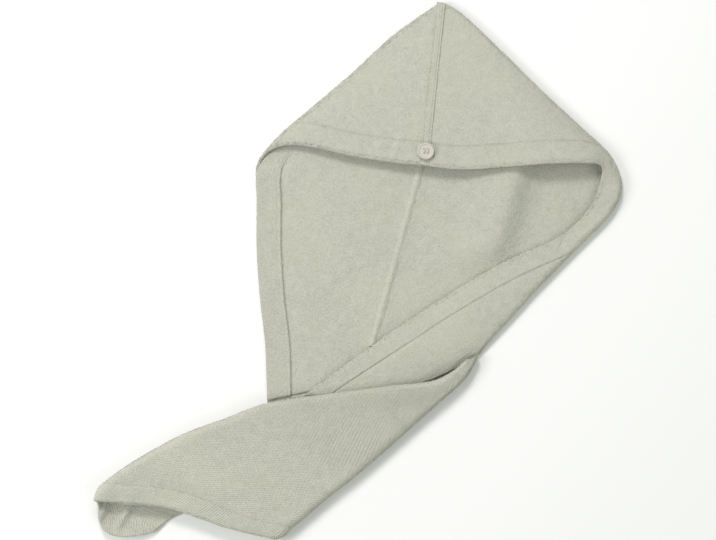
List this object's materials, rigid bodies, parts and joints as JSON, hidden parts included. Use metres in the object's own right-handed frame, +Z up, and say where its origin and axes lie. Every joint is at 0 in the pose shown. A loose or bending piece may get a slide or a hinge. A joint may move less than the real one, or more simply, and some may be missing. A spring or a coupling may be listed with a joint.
{
  "type": "hair turban towel",
  "caption": "Terry hair turban towel laid flat, with an open button-ended hood, hemmed edges, a centre seam and a tail folded across the front.",
  "frame": {"origin": "on the surface the towel lies on, under the middle of its bounding box", "axes": "+X to the right of the open hood, +Y from the tail towards the hood's peak, +Z up from the surface"},
  "size_m": [0.5557, 0.5639, 0.0276],
  "materials": {
    "terry": "looped pile, soft and matt",
    "hem_cloth": "pressed looped pile, stitched down",
    "button": "cream, softly polished"
  },
  "bodies": {
    "root": {"left_panel": "terry", "right_panel": "terry", "tail": "terry", "front_hem_left": "hem_cloth", "front_hem_right": "hem_cloth", "side_hem_left": "hem_cloth", "side_hem_right": "hem_cloth", "tail_hem": "hem_cloth", "crown_seam": "hem_cloth", "inner_seam": "hem_cloth", "button": "button"}
  },
  "joints": []
}
